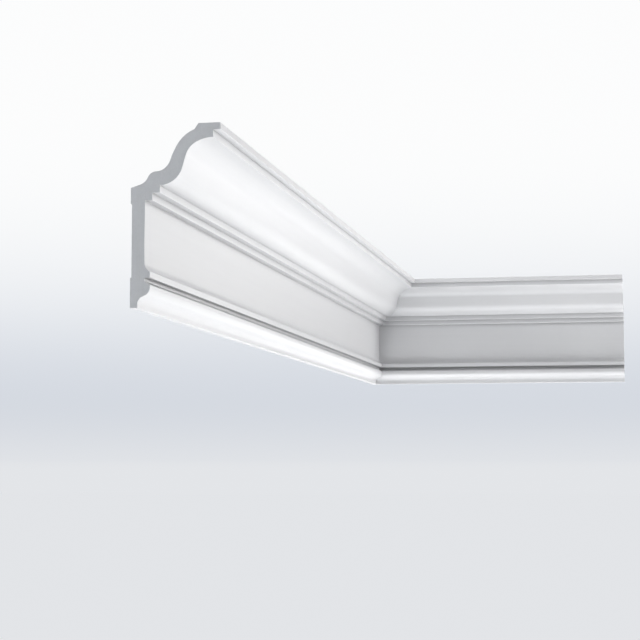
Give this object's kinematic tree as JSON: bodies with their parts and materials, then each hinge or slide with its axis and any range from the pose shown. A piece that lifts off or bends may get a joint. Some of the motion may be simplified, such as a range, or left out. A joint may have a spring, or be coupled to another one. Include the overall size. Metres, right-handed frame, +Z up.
{
  "type": "cornice moulding",
  "caption": "White ceiling cornice with ogee, stepped fillets, flat frieze and foot bead; a long length mitred to a short return for an inside corner.",
  "frame": {"origin": "on the lower wall band at the back of the long length, halfway along it and 16.5 mm above its lower edge", "axes": "+Z up, +Y along the long length towards the inside corner, +X out from the wall and along the return"},
  "size_m": [0.498, 1.64, 0.2],
  "materials": {
    "white_primer": "smooth white primer with a low satin sheen; grey fine-celled foam shows on the sawn ends"
  },
  "bodies": {
    "root": {"long_length": "white_primer", "return_length": "white_primer"}
  },
  "joints": []
}
